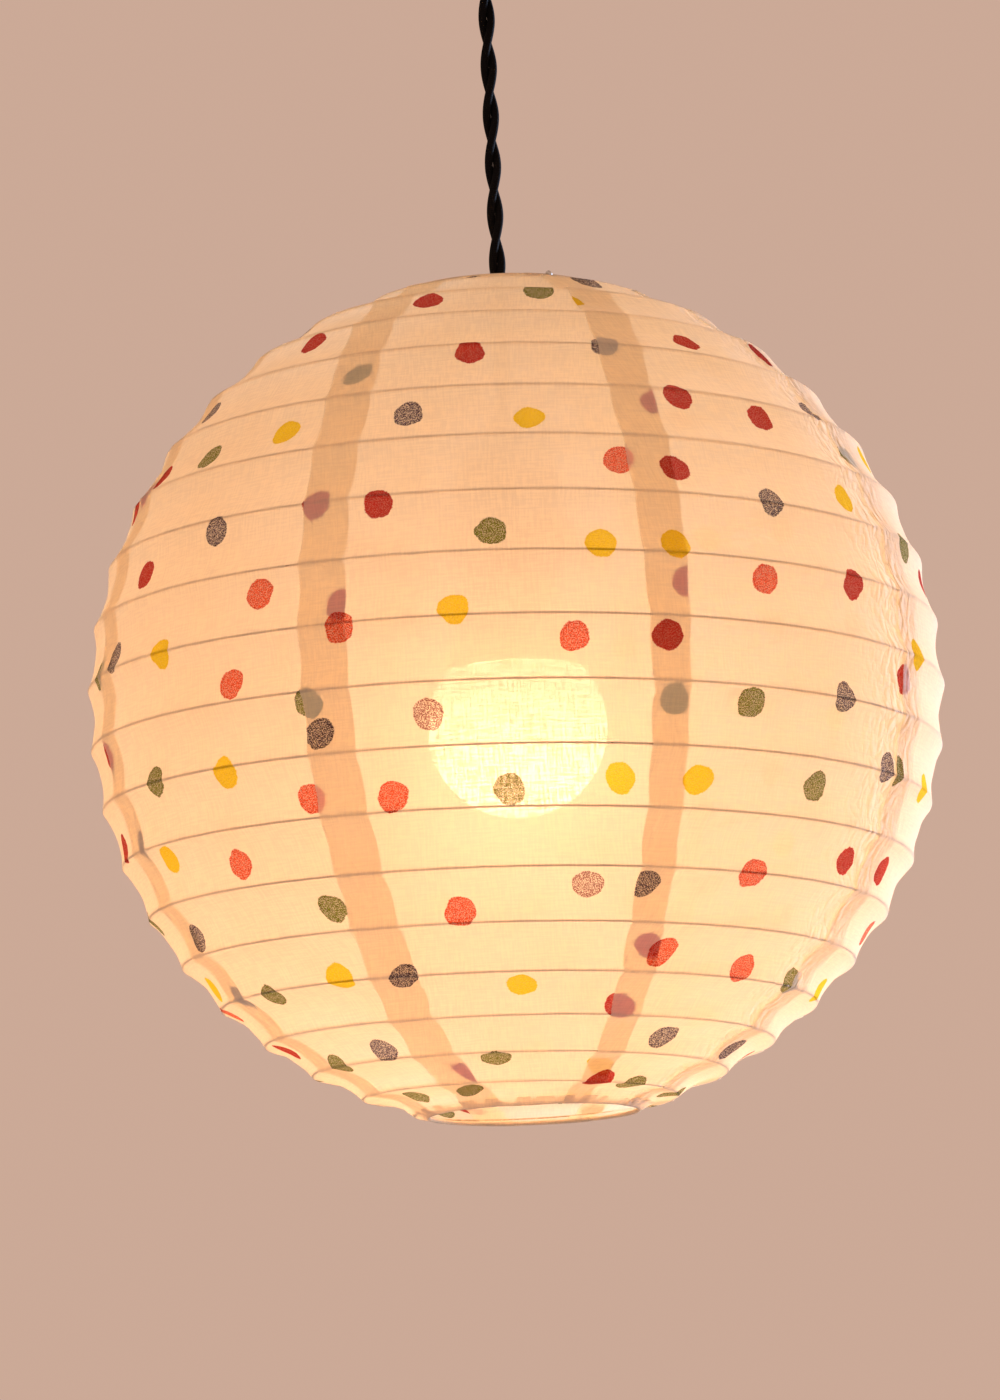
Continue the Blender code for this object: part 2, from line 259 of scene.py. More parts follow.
class Nodes:
    """Short calls for building one material's node tree."""

    def __init__(self, name):
        self.material = bpy.data.materials.new(name)
        self.material.use_nodes = True
        self.tree = self.material.node_tree
        self.tree.nodes.clear()
        self.output = self.add("ShaderNodeOutputMaterial")

    def add(self, kind, **settings):
        node = self.tree.nodes.new(kind)
        for key, value in settings.items():
            setattr(node, key, value)
        return node

    def put(self, socket, value):
        if isinstance(value, bpy.types.NodeSocket):
            self.tree.links.new(value, socket)
        elif value is not None:
            if socket.type == "RGBA" and len(value) == 3:
                value = (*value, 1.0)
            socket.default_value = value

    def maths(self, operation, first, second=None, third=None, clamp=False):
        node = self.add("ShaderNodeMath", operation=operation, use_clamp=clamp)
        for socket, value in zip(node.inputs, (first, second, third)):
            self.put(socket, value)
        return node.outputs[0]

    def noise(self, vector, scale, detail=3.0, roughness=0.55, dimensions="3D"):
        node = self.add("ShaderNodeTexNoise", noise_dimensions=dimensions)
        self.put(node.inputs["Vector"], vector)
        self.put(node.inputs["Scale"], scale)
        self.put(node.inputs["Detail"], detail)
        self.put(node.inputs["Roughness"], roughness)
        return node.outputs["Fac"]

    def stretch(self, vector, by):
        node = self.add("ShaderNodeMapping")
        self.put(node.inputs["Vector"], vector)
        self.put(node.inputs["Scale"], by)
        return node.outputs[0]

    def ramp(self, value, low, high, first=0.0, last=1.0, smooth=True):
        node = self.add("ShaderNodeMapRange", interpolation_type="SMOOTHSTEP" if smooth else "LINEAR")
        for key, number in (
            ("Value", value),
            ("From Min", low),
            ("From Max", high),
            ("To Min", first),
            ("To Max", last),
        ):
            self.put(node.inputs[key], number)
        return node.outputs[0]

    def blend(self, share, first, second, kind="MIX"):
        node = self.add("ShaderNodeMix", data_type="RGBA", blend_type=kind)
        self.put(node.inputs[0], share)
        self.put(node.inputs[6], first)
        self.put(node.inputs[7], second)
        return node.outputs[2]

    def bump(self, height, strength, distance, under=None):
        node = self.add("ShaderNodeBump")
        self.put(node.inputs["Height"], height)
        self.put(node.inputs["Strength"], strength)
        self.put(node.inputs["Distance"], distance)
        self.put(node.inputs["Normal"], under)
        return node.outputs[0]

    def shader(self, kind, **values):
        node = self.add(kind)
        for key, value in values.items():
            self.put(node.inputs[key], value)
        return node.outputs[0]

    def mixed(self, share, first, second):
        node = self.add("ShaderNodeMixShader")
        self.put(node.inputs[0], share)
        self.put(node.inputs[1], first)
        self.put(node.inputs[2], second)
        return node.outputs[0]

    def principled(self, **values):
        node = self.add("ShaderNodeBsdfPrincipled")
        for key, value in values.items():
            self.put(node.inputs[key.replace("_", " ")], value)
        self.tree.links.new(node.outputs[0], self.output.inputs[0])
        return node

    def object_place(self):
        return self.add("ShaderNodeTexCoord").outputs["Object"]

    def uv(self):
        return self.add("ShaderNodeTexCoord").outputs["UV"]


def set_material(obj, material):
    obj.data.materials.clear()
    obj.data.materials.append(material)


def moulded(name, colour, roughness):
    """Moulded plastic: a faint grain, uneven gloss and slightly lighter worn patches."""
    n = Nodes(name)
    place = n.object_place()
    grain = n.noise(place, 2600.0, 2.0)
    patches = n.noise(place, 90.0, 3.0)
    dull = [c * 0.85 for c in colour]
    worn = [min(1, c * 1.2 + 0.006) for c in colour]
    shade = n.blend(n.ramp(patches, 0.35, 0.75), dull, worn)
    n.principled(
        Base_Color=shade,
        Roughness=n.ramp(patches, 0.3, 0.8, roughness - 0.07, roughness + 0.09),
        Normal=n.bump(grain, 0.25, 0.0001),
    )
    return n.material


def plated(name, colour, roughness):
    """Plated or plain metal with drawing lines and a slightly uneven tone."""
    n = Nodes(name)
    place = n.object_place()
    lines = n.noise(n.stretch(place, (300.0, 300.0, 5200.0)), 1.0, 2.0)
    tone = n.noise(place, 140.0, 3.0)
    shade = n.blend(n.ramp(tone, 0.3, 0.8), [c * 0.8 for c in colour], colour)
    n.principled(
        Base_Color=shade,
        Metallic=1.0,
        Roughness=n.ramp(lines, 0.3, 0.7, roughness - 0.08, roughness + 0.12),
        Normal=n.bump(lines, 0.2, 0.00005),
    )
    return n.material


def coated_wire():
    """Buff coated spring wire with thin and thick spots in the coating."""
    n = Nodes("coated_wire")
    place = n.object_place()
    spots = n.noise(place, 420.0, 3.0)
    shade = n.blend(n.ramp(spots, 0.35, 0.7), (0.52, 0.36, 0.21), (0.80, 0.60, 0.38))
    n.principled(
        Base_Color=shade,
        Roughness=n.ramp(spots, 0.3, 0.7, 0.32, 0.5),
        Normal=n.bump(spots, 0.3, 0.0001),
    )
    return n.material


def braid():
    """Black textile braid: two crossing sets of slanted yarns round each strand."""
    n = Nodes("braid")
    parts = n.add("ShaderNodeSeparateXYZ")
    n.put(parts.inputs[0], n.uv())
    along = n.maths("MULTIPLY", parts.outputs[0], math.tau / 0.0016)
    around = n.maths("MULTIPLY", parts.outputs[1], math.tau * 10)
    one = n.maths("SINE", n.maths("ADD", along, around))
    other = n.maths("SINE", n.maths("SUBTRACT", along, around))
    weave = n.maths("MULTIPLY", one, other)
    fuzz = n.noise(n.object_place(), 3800.0, 3.0)
    height = n.maths("ADD", weave, n.maths("MULTIPLY", fuzz, 0.5))
    shade = n.blend(n.ramp(weave, -1.0, 1.0), (0.003, 0.003, 0.004), (0.010, 0.009, 0.009))
    n.principled(
        Base_Color=shade,
        Roughness=n.ramp(fuzz, 0.3, 0.7, 0.72, 0.9),
        Normal=n.bump(height, 0.6, 0.0003),
        Specular_IOR_Level=0.06,
    )
    return n.material


GLOW = 25.0


def opal_glow():
    """The lit diffuser of milky plastic, dimmer towards its neck."""
    n = Nodes("opal_glow")
    parts = n.add("ShaderNodeSeparateXYZ")
    n.put(parts.inputs[0], n.object_place())
    neck = n.ramp(parts.outputs[2], SHADE_Z - 0.040, SHADE_Z + 0.010, 1.0, 0.35)
    haze = n.noise(n.object_place(), 60.0, 2.0)
    warm = n.blend(n.ramp(haze, 0.3, 0.7), (1.0, 0.52, 0.27), (1.0, 0.55, 0.29))
    n.principled(
        Base_Color=(0.9, 0.86, 0.76),
        Roughness=0.35,
        Emission_Color=warm,
        Emission_Strength=n.maths("MULTIPLY", neck, GLOW),
    )
    return n.material


# Cotton as light passes through it, and as it looks from outside
CREAM = (0.95, 0.82, 0.57)
PALE_CREAM = (0.97, 0.91, 0.80)


def woven(n, uv):
    """(weave, colour) of plain cotton: crossing yarns, thicker slubs and a slightly uneven tone."""
    warp = n.noise(n.stretch(uv, (1250.0, 110.0, 1.0)), 1.0, 2.0)
    weft = n.noise(n.stretch(uv, (110.0, 1250.0, 1.0)), 1.0, 2.0)
    weave = n.maths("ADD", n.maths("MULTIPLY", warp, 0.5), n.maths("MULTIPLY", weft, 0.5))
    slub = n.noise(n.stretch(uv, (40.0, 700.0, 1.0)), 1.0, 3.0)
    cloudy = n.noise(uv, 28.0, 3.0)
    tinted = [c * f for c, f in zip(CREAM, (0.99, 0.97, 0.93))]
    cloth = n.blend(n.ramp(cloudy, 0.35, 0.7), CREAM, tinted)
    cloth = n.blend(n.maths("MULTIPLY", n.ramp(slub, 0.58, 0.75), 0.25), cloth, (0.80, 0.70, 0.55))
    cloth = n.blend(n.ramp(weave, 0.42, 0.6, 0.20, 0.0), cloth, (0.75, 0.66, 0.52))
    return weave, cloth


def painted_dots(n, uv):
    """(share of paint, its colour). Each gore's attributes say how far the nearest dot's middle is,
    its paint, and how fully that covers the cloth."""
    reach = n.add("ShaderNodeAttribute", attribute_name="dot_distance").outputs["Fac"]
    paint = n.add("ShaderNodeAttribute", attribute_name="dot_paint").outputs["Color"]
    cover = n.add("ShaderNodeAttribute", attribute_name="dot_cover").outputs["Fac"]
    brush = n.noise(uv, 120.0, 1.0)
    frayed = n.noise(uv, 1300.0, 2.0)
    edge = n.maths("ADD", reach, n.maths("MULTIPLY", n.maths("SUBTRACT", brush, 0.5), 0.0034))
    edge = n.maths("ADD", edge, n.maths("MULTIPLY", n.maths("SUBTRACT", frayed, 0.5), 0.0009))
    dot = n.ramp(edge, DOT_RADIUS - 0.0002, DOT_RADIUS + 0.0002, 1.0, 0.0)
    rim = n.ramp(edge, DOT_RADIUS - 0.0013, DOT_RADIUS - 0.0002)
    speckle = n.noise(uv, 2100.0, 1.0)
    blotch = n.noise(uv, 520.0, 2.0)
    patchy = n.maths("SUBTRACT", 1.02, cover)
    worn = n.maths("ADD", n.maths("MULTIPLY", speckle, 0.8), n.maths("MULTIPLY", blotch, 0.2))
    worn = n.ramp(n.maths("SUBTRACT", worn, n.maths("MULTIPLY", rim, 0.03)), 0.46, 0.60)
    worn = n.maths("MULTIPLY", worn, n.maths("MULTIPLY", patchy, 1.6), clamp=True)
    thick = n.noise(uv, 1500.0, 2.0)
    thick = n.ramp(n.maths("ADD", thick, n.maths("MULTIPLY", rim, 0.05)), 0.47, 0.62)
    thick = n.maths("MULTIPLY", thick, n.maths("ADD", n.maths("MULTIPLY", patchy, 2.4), 0.1), clamp=True)
    inked = n.blend(thick, paint, (0.50, 0.22, 0.20), "MULTIPLY")
    return n.maths("MULTIPLY", dot, n.maths("SUBTRACT", 1.0, worn)), inked


def creased(n, uv, weave):
    """Surface direction over the crumples, with the weave's fine relief on top."""
    crumple = n.add("ShaderNodeAttribute", attribute_name="crumple").outputs["Fac"]
    creases = n.noise(n.stretch(uv, (170.0, 120.0, 1.0)), 1.0, 1.5, 0.5)
    creases = n.maths("ABSOLUTE", n.maths("SUBTRACT", creases, 0.5))
    folds = n.bump(n.maths("MULTIPLY", creases, crumple), 1.0, 0.004)
    return n.bump(weave, 0.25, 0.0003, folds)


def gaps(n, uv, weave, dot):
    """Share of open holes: between the yarns, and everything past a gore's frayed cut edge."""
    between = n.ramp(weave, 0.40, 0.60, 0.070, 0.004)
    between = n.maths("MULTIPLY", between, n.ramp(dot, 0.0, 1.0, 1.0, 0.35))
    cut = n.add("ShaderNodeAttribute", attribute_name="cut_distance").outputs["Fac"]
    fringe = n.noise(n.stretch(uv, (260.0, 1500.0, 1.0)), 1.0, 2.0)
    past = n.maths("SUBTRACT", cut, n.maths("MULTIPLY", fringe, 0.0010))
    return n.maths("MAXIMUM", between, n.ramp(past, -0.0001, 0.0001, 1.0, 0.0))


def cotton():
    """Thin cotton voile. Light passes it softly, and a share of it straight through the weave."""
    n = Nodes("cotton")
    uv = n.uv()
    weave, cloth = woven(n, uv)
    dot, inked = painted_dots(n, uv)
    covered = n.maths("MULTIPLY", dot, 0.98)
    colour = n.blend(covered, cloth, inked)
    outside = n.blend(covered, n.blend(0.85, cloth, PALE_CREAM), inked)
    normal = creased(n, uv, weave)
    front = n.shader("ShaderNodeBsdfDiffuse", Color=outside, Normal=normal)
    back = n.shader("ShaderNodeBsdfTranslucent", Color=colour, Normal=normal)
    forward = n.shader("ShaderNodeBsdfRefraction", Color=colour, Roughness=1.0, IOR=1.4)
    holes = n.shader("ShaderNodeBsdfTransparent", Color=(1.0, 1.0, 1.0))
    soft = n.mixed(0.55, front, back)
    scatter = n.mixed(0.07, soft, forward)
    whole = n.mixed(gaps(n, uv, weave, dot), scatter, holes)
    n.tree.links.new(whole, n.output.inputs[0])
    return n.material


BLACK = moulded("black_plastic", (0.016, 0.015, 0.015), 0.38)
WHITE = moulded("white_plastic", (0.80, 0.79, 0.75), 0.42)
CERAMIC = moulded("ceramic", (0.78, 0.76, 0.70), 0.22)
BOARD = moulded("circuit_board", (0.05, 0.20, 0.10), 0.45)
NICKEL = plated("nickel", (0.72, 0.70, 0.66), 0.28)
ALUMINIUM = plated("aluminium", (0.80, 0.80, 0.79), 0.34)
BRASS = plated("brass", (0.80, 0.58, 0.24), 0.3)
COATED = coated_wire()
BRAID = braid()
COTTON = cotton()
OPAL = opal_glow()


# ---------------------------------------------------------------- flex

FLEX_DIAMETER = 0.0069
FLEX_TOP_Z = -0.0284
FLEX_BOTTOM_Z = SHADE_Z + 0.11055
FLEX_LAY = 0.0423
FLEX_START = math.radians(95.0)


def joined(name, objects):
    """One object holding all the given meshes."""
    for other in bpy.context.selected_objects:
        other.select_set(False)
    for obj in objects:
        obj.select_set(True)
    bpy.context.view_layer.objects.active = objects[0]
    bpy.ops.object.join()
    objects[0].name = name
    objects[0].data.name = name
    return objects[0]


def twisted_flex():
    """Two braided strands laid round each other, as one piece, from the rose to the lampholder."""
    strand = FLEX_DIAMETER / 4
    rise = np.linspace(FLEX_BOTTOM_Z + 0.0008, FLEX_TOP_Z - 0.0008, 240)
    meshes = []
    for half in (0, 1):
        turn = FLEX_START + math.pi * half + math.tau * (rise - rise[0]) / FLEX_LAY
        path = np.stack([strand * np.cos(turn), strand * np.sin(turn), rise], 1)
        meshes.append(tube(f"strand_{half}", path, strand * 0.995, sides=18))
    return joined("twisted_cord", meshes)


flex = twisted_flex()
set_material(flex, BRAID)
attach(flex, "flex")
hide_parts("twisted_flex")


# ---------------------------------------------------------------- cloth

# Colour of each paint, and how fully it covers the cloth
PAINTS = {
    "red": ((0.42, 0.004, 0.003), 0.93),
    "coral": ((0.72, 0.060, 0.012), 0.76),
    "yellow": ((0.82, 0.61, 0.006), 0.97),
    "olive": ((0.13, 0.17, 0.004), 0.72),
    "violet": ((0.052, 0.034, 0.090), 0.56),
    "faded": ((0.36, 0.16, 0.14), 0.40),
}

# Where the dots lie: degrees right of a gore's middle, and degrees above the lantern's middle
FRONT_DOTS = {
    "red": [(-16, 59), (-3, 42), (-15, 17), (26, 32), (25, 5), (24, -43), (22, -53)],
    "coral": [(18, 22), (-20, 1), (10, -2), (-15, -21), (-8, -37)],
    "yellow": [(6, 29), (14, 10), (-5, 2), (16, -20), (1, -49), (25, -66)],
    "olive": [(13, 60), (0, 12), (1, -21), (23, -10), (-8, -63), (-24, -71)],
    "violet": [(-9, 72), (21, 43), (-12, 31), (-24, -12), (-21, -46)],
    "faded": [(-9, -11), (12, -34)],
}
RIGHT_DOTS = {
    "red": [(-5, 46), (-15, 33), (0, 31), (-19, 21), (8, 7), (-23, -2), (20, -4), (14, -29), (-18, -69)],
    "coral": [(-8, 6), (-18, -44), (-6, -32), (1, -46)],
    "yellow": [(-26, 57), (12, 20), (-21, 10), (-18, -20), (5, 62)],
    "olive": [(21, 28), (-11, -10), (2, -20), (18, -47), (-2, -70)],
    "violet": [(17, 35), (-5, 17), (5, -8), (17, -16), (-24, -34), (-7, -59), (-9, 68)],
}
FAR_RIGHT_DOTS = {
    "red": [(-23, 48), (-18, -29), (-8, 12), (6, 44), (10, -60), (15, -12)],
    "coral": [(4, 25), (-5, -37), (20, 9)],
    "yellow": [(-21, 0), (-13, -17), (-9, -47), (-12, 30), (13, 58)],
    "olive": [(-25, -16), (-18, 15), (7, -26), (2, -3), (-7, -71)],
    "violet": [(-20, -60), (-14, 62), (0, 34), (12, -45), (17, 27)],
}
FAR_LEFT_DOTS = {
    "red": [(22, 28), (16, 27), (20, -8), (14, -20), (-6, 40), (-14, -38), (11, -55)],
    "coral": [(3, 8), (-12, 14), (5, -46)],
    "yellow": [(12, -42), (9, 14), (-3, -12), (16, 46), (-20, 2)],
    "olive": [(19, 3), (-9, 26), (4, 58), (-8, -58), (6, -30)],
    "violet": [(25, -21), (25, -45), (8, 34), (-16, -20), (-4, 66)],
}
LEFT_DOTS = {
    "red": [(4, 51), (-19, 30), (-12, 14), (21, 18), (25, 4), (27, -66), (-8, 66)],
    "coral": [(13, 7), (8, -4), (18, -20), (2, -27)],
    "yellow": [(13, 65), (12, 31), (-5, 2), (5, -15), (-14, -24), (11, -45)],
    "olive": [(22, 40), (-4, 30), (20, -8), (-10, -14), (16, -35), (-9, -46), (-14, -60), (-9, -71)],
    "violet": [(-17, 41), (4, 17), (-19, 4), (-19, -35), (7, -59), (-22, 60)],
}
PRINTS = [
    FRONT_DOTS,
    RIGHT_DOTS,
    FAR_RIGHT_DOTS,
    LEFT_DOTS,
    FRONT_DOTS,
    RIGHT_DOTS,
    FAR_LEFT_DOTS,
    LEFT_DOTS,
]


def rib_latitude(turn):
    return RIB_MIDDLE - RIB_PITCH * turn + RIB_CLOSING * turn * turn


def turn_at(latitude):
    """The turn count at which the rib wire reaches a latitude."""
    under = RIB_PITCH**2 - 4 * RIB_CLOSING * (RIB_MIDDLE - latitude)
    return (RIB_PITCH - math.sqrt(under)) / (2 * RIB_CLOSING)


TOP_TURN = turn_at(math.degrees(math.acos(TOP_RADIUS / RADIUS)))
BOTTOM_TURN = turn_at(-math.degrees(math.acos(BOTTOM_RADIUS / RADIUS)))
ROWS_A_TURN = 10
COLUMNS = 64


def inside_ring(radius, z):
    """(radius, height) of a hoop that lies just inside the cloth, beside an end ring of the frame."""
    slope = math.atan2(z - SHADE_Z, radius)
    wide = RADIUS - HOOP_DEPTH
    return wide * math.cos(slope), SHADE_Z + wide * math.sin(slope)


TOP_HOOP = inside_ring(TOP_RADIUS, TOP_Z)
BOTTOM_HOOP = inside_ring(BOTTOM_RADIUS, BOTTOM_Z)


# Longitude of the badly crumpled strip beside the seam at the right
CRUMPLED_STRIP = 59.0


def wrinkle(longitude, turn, inside):
    """Depth of the crumples: close and short beside a seam, long and shallow elsewhere."""
    near = math.exp(-(((inside - 0.014) / 0.012) ** 2))
    right = math.exp(-(((longitude - CRUMPLED_STRIP) / 5.0) ** 2))
    place = Vector((longitude * 0.45, turn * 4.2, 5.0))
    crumple = abs(noise.noise(place)) + 0.3 * abs(noise.noise(place * 2.1)) - 0.2
    long_fold = noise.noise(Vector((longitude * 0.05, turn * 2.4, 9.0)))
    return crumple * near * (0.0003 + 0.0030 * right) + long_fold * 0.0006


def cloth_point(longitude, turn, layer, inside):
    """A point of the stretched cloth, layer below the outermost surface."""
    phase = (turn - longitude / 360.0) % 1.0
    ends = min(turn - TOP_TURN, BOTTOM_TURN - turn)
    calm = min(1.0, max(0.0, ends / 0.4))
    sag = 4 * phase * (1 - phase)
    depth = SCALLOP * sag * calm
    depth += wrinkle(longitude, turn, inside) * (0.25 + 0.75 * sag) * calm
    rise = math.radians(rib_latitude(turn))
    around = math.radians(longitude)
    wide = RADIUS - layer * (END_LAYER + (1 - END_LAYER) * calm) - depth
    flat = wide * math.cos(rise)
    return (flat * math.sin(around), -flat * math.cos(around), SHADE_Z + wide * math.sin(rise))


# Lap of each seam: its width at the lantern's middle, and how much wider it is towards the top
SEAM_LAPS = [
    (0.0213, -0.0004),
    (0.0178, 0.0022),
    (0.0190, 0.0010),
    (0.0200, -0.0012),
    (0.0185, 0.0018),
    (0.0195, -0.0010),
    (0.0180, 0.0020),
    (0.0190, 0.0012),
]


# Degrees each seam strays sideways at 55 degrees above the lantern's middle
SEAM_STRAY = [-3.8, 3.6, 0.5, -1.5, 1.0, -0.8, 1.2, 0.6]


def seam_stray(seam, latitude):
    """How far a seam has wandered off its meridian, in degrees: most near the top, less near the bottom."""
    share = max(0.0, (abs(latitude) - 33.0) / 22.0) ** 1.3
    return SEAM_STRAY[seam % GORES] * min(share, 1.5) * (1.0 if latitude > 0 else 0.4)


def half_lap(seam, latitude):
    """Half the lap of a seam in degrees of longitude."""
    width, more = SEAM_LAPS[seam % GORES]
    width += more * math.tanh(latitude / 14.0) - 0.012 * max(0.0, -latitude / 90.0 - 0.5)
    return math.degrees(width / (RADIUS * math.cos(math.radians(latitude)))) / 2


def gore_rows(middle):
    """Turn counts of a gore's rows at its middle, so that each rib runs along one row."""
    shift = middle / 360.0
    first = math.floor((TOP_TURN - shift) * ROWS_A_TURN) - 2
    last = math.ceil((BOTTOM_TURN - shift) * ROWS_A_TURN) + 2
    return [shift + row / ROWS_A_TURN for row in range(first, last + 1)]


def cloth_gore(number):
    """One gore: boat-shaped, its left edge lapped over its neighbour's right edge, hemmed at both rings."""
    middle = FIRST_SEAM + (number - 0.5) * SPAN
    rows, flats, marks, outline = [], [], [], []
    for turn in gore_rows(middle):
        row, flat, mark, ends = [], [], [], []
        for column in range(COLUMNS + 1):
            share = column_share(column)
            here, offset = across_gore(number, middle, turn, share)
            latitude = rib_latitude(here)
            scale = RADIUS * math.cos(math.radians(latitude))
            left, right = gore_edges(number, latitude)
            from_left = math.radians(offset - left) * scale
            from_right = math.radians(right - offset) * scale
            inside = min(from_left, from_right)
            longitude = middle + offset
            row.append(cloth_point(longitude, here, LAP_STEP * share, inside))
            flat.append((scale * math.radians(offset), RADIUS * math.radians(latitude)))
            mark.append((inside, crumpled(longitude, inside)))
            ends.append((longitude, LAP_STEP * share))
        rows.append(row)
        flats.append(flat)
        marks.append(mark)
        outline.append(ends)
    top = hem_rows(number, outline[0], flats[0], TOP_HOOP, True)
    bottom = hem_rows(number, outline[-1], flats[-1], BOTTOM_HOOP, False)
    marks = [marks[0]] * len(top[0]) + marks + [marks[-1]] * len(bottom[0])
    rows = top[0][::-1] + rows + bottom[0]
    flats = top[1][::-1] + flats + bottom[1]
    points = [point for row in rows for point in row]
    places = [place for row in flats for place in row]
    made = skin(f"cloth_gore_{number}", points, grid_faces(len(rows), COLUMNS + 1, flip=True), places)
    values = np.array([mark for row in marks for mark in row], np.float32)
    add_value(made, "cut_distance", values[:, 0])
    add_value(made, "crumple", values[:, 1])
    add_print(made, places, PRINTS[number - 1])
    weld(made, 2e-5, closed=False)
    return made


def column_share(column):
    """Columns stand closer together towards a gore's edges."""
    even = column / COLUMNS
    return 0.6 * even + 0.4 * (0.5 - 0.5 * math.cos(math.pi * even))


def gore_edges(number, latitude):
    """Left and right edge of a gore, in degrees from its middle."""
    left = seam_stray(number - 1, latitude) - half_lap(number - 1, latitude)
    right = seam_stray(number, latitude) + half_lap(number, latitude)
    return left - SPAN / 2, right + SPAN / 2


def across_gore(number, middle, turn, share):
    """(turn count, degrees from the middle) at a share of the way from the left edge to the right."""
    near = min(max(turn, TOP_TURN), BOTTOM_TURN)
    left, right = gore_edges(number, rib_latitude(near))
    offset = left + (right - left) * share
    here = min(max(turn + offset / 360.0, TOP_TURN), BOTTOM_TURN)
    latitude = rib_latitude(here)
    left, right = gore_edges(number, latitude)
    offset = left + (right - left) * share
    scale = RADIUS * math.cos(math.radians(latitude))
    side = 2 * share - 1
    phase = (here - (middle + offset) / 360.0) % 1.0
    wave = 0.0006 * math.cos(math.tau * phase) * (1 if side < 0 else -1)
    wave += 0.0016 * noise.noise(Vector((here * 1.1, number * 7.0 + (3.0 if side < 0 else 0.0), 0.0)))
    wave += 0.0010 * noise.noise(Vector((here * 6.0, number * 5.0 + (2.0 if side < 0 else 0.0), 8.0)))
    return here, offset + math.degrees(wave / scale) * abs(side) ** 6


def crumpled(longitude, inside):
    """How strongly creased the cloth is: mostly beside the seam at the right, a little beside every seam."""
    right = math.exp(-(((longitude - CRUMPLED_STRIP - 1.0) / 6.0) ** 2))
    return 0.05 + 0.95 * right + 0.15 * math.exp(-((inside / 0.02) ** 2))


# Angles at which the hem's outline is taken on its way round the hoop
HEM_WRAP = (30, 60, 90, 120, 150, 180)


def hem_outline(hoop, above, layer):
    """(radius, height) points over the hoop, round it and back along the cloth's inner side."""
    side = 1.0 if above else -1.0
    slope = math.atan2(hoop[1] - SHADE_Z, hoop[0])
    wrap = HOOP_DEPTH - layer * END_LAYER
    points = []
    for degrees in HEM_WRAP:
        around = slope + side * math.radians(degrees)
        points.append((hoop[0] + wrap * math.cos(around), hoop[1] + wrap * math.sin(around)))
    for step in range(1, 6):
        angle = slope - side * HEM * step / 5 / RADIUS
        inner = RADIUS - (HOOP_DEPTH + wrap) * (1 - 0.1 * step)
        points.append((inner * math.cos(angle), SHADE_Z + inner * math.sin(angle)))
    return points


def hem_rows(number, edge_row, flat_row, hoop, above):
    """Rows of points and flat places for one hem. Small notches are cut into its free edge."""
    rows, flats = [], []
    outlines = [hem_outline(hoop, above, layer) for longitude, layer in edge_row]
    for step in range(len(outlines[0])):
        row, places = [], []
        for index, (longitude, layer) in enumerate(edge_row):
            wide, height = outlines[index][step]
            if step >= len(HEM_WRAP):
                here = Vector((longitude * 0.09, number, 2.0 if above else 4.0))
                notch = 0.75 * max(0.0, 1 - 5 * abs(noise.noise(here)))
                last_wide, last_height = outlines[index][len(HEM_WRAP) - 1]
                wide += (last_wide - wide) * notch
                height += (last_height - height) * notch
            around = math.radians(longitude)
            row.append((wide * math.sin(around), -wide * math.cos(around), height))
            down = 0.0010 * (step + 1)
            places.append((flat_row[index][0], flat_row[index][1] + (down if above else -down)))
        rows.append(row)
        flats.append(places)
    return rows, flats


def add_value(obj, name, values):
    kept = obj.data.attributes.new(name, "FLOAT", "POINT")
    kept.data.foreach_set("value", np.asarray(values, np.float32))


def add_print(obj, places, dots):
    """Stores, for each vertex, how far the nearest dot's middle is on the flat cloth, and its paint."""
    where = np.array(places)
    middles, paints = [], []
    for paint, spots in dots.items():
        for right, up in spots:
            rise = math.radians(up)
            middles.append((RADIUS * math.cos(rise) * math.radians(right), RADIUS * rise))
            paints.append((*PAINTS[paint][0], 1.0, PAINTS[paint][1]))
    distances = np.linalg.norm(where[:, None] - np.array(middles)[None], axis=2)
    nearest = np.array(paints, np.float32)[distances.argmin(1)]
    add_value(obj, "dot_distance", distances.min(1))
    add_value(obj, "dot_cover", nearest[:, 4])
    shade = obj.data.attributes.new("dot_paint", "FLOAT_COLOR", "POINT")
    shade.data.foreach_set("color", nearest[:, :4].ravel())


def folds_up(obj):
    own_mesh(obj)


for number in range(1, GORES + 1):
    gore = cloth_gore(number)
    set_material(gore, COTTON)
    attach(gore, "shade")
    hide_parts(f"gore_{number}")
    folds_up(gore)


# ---------------------------------------------------------------- wires


def rib_points():
    steps = round((RIB_LAST_TURN - RIB_FIRST_TURN) * 60)
    points = []
    for step in range(steps + 1):
        turn = RIB_FIRST_TURN + (RIB_LAST_TURN - RIB_FIRST_TURN) * step / steps
        rise = math.radians(rib_latitude(turn))
        around = math.tau * turn
        wide = RADIUS - RIB_DEPTH - RIB_WIRE + 0.0003 * noise.noise(Vector((turn * 9.0, 1.0, 0.0)))
        flat = wide * math.cos(rise)
        points.append((flat * math.sin(around), -flat * math.cos(around), SHADE_Z + wide * math.sin(rise)))
    return points


def ring_points(radius, z, steps=160):
    return [
        (radius * math.cos(math.tau * i / steps), radius * math.sin(math.tau * i / steps), z)
        for i in range(steps)
    ]


rib = tube("rib_wire", rib_points(), RIB_WIRE, sides=8)
set_material(rib, COATED)
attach(rib, "shade")
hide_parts("rib_spiral")
folds_up(rib)

for name, node, body, (wide, height) in (
    ("top_hoop", "top_ring", "shade", TOP_HOOP),
    ("bottom_hoop", "bottom_ring", "shade_foot", BOTTOM_HOOP),
):
    hoop = tube(name, ring_points(wide, height), HOOP_WIRE, sides=14, closed=True)
    set_material(hoop, COATED)
    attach(hoop, body)
    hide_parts(node)


# ---------------------------------------------------------------- bulb

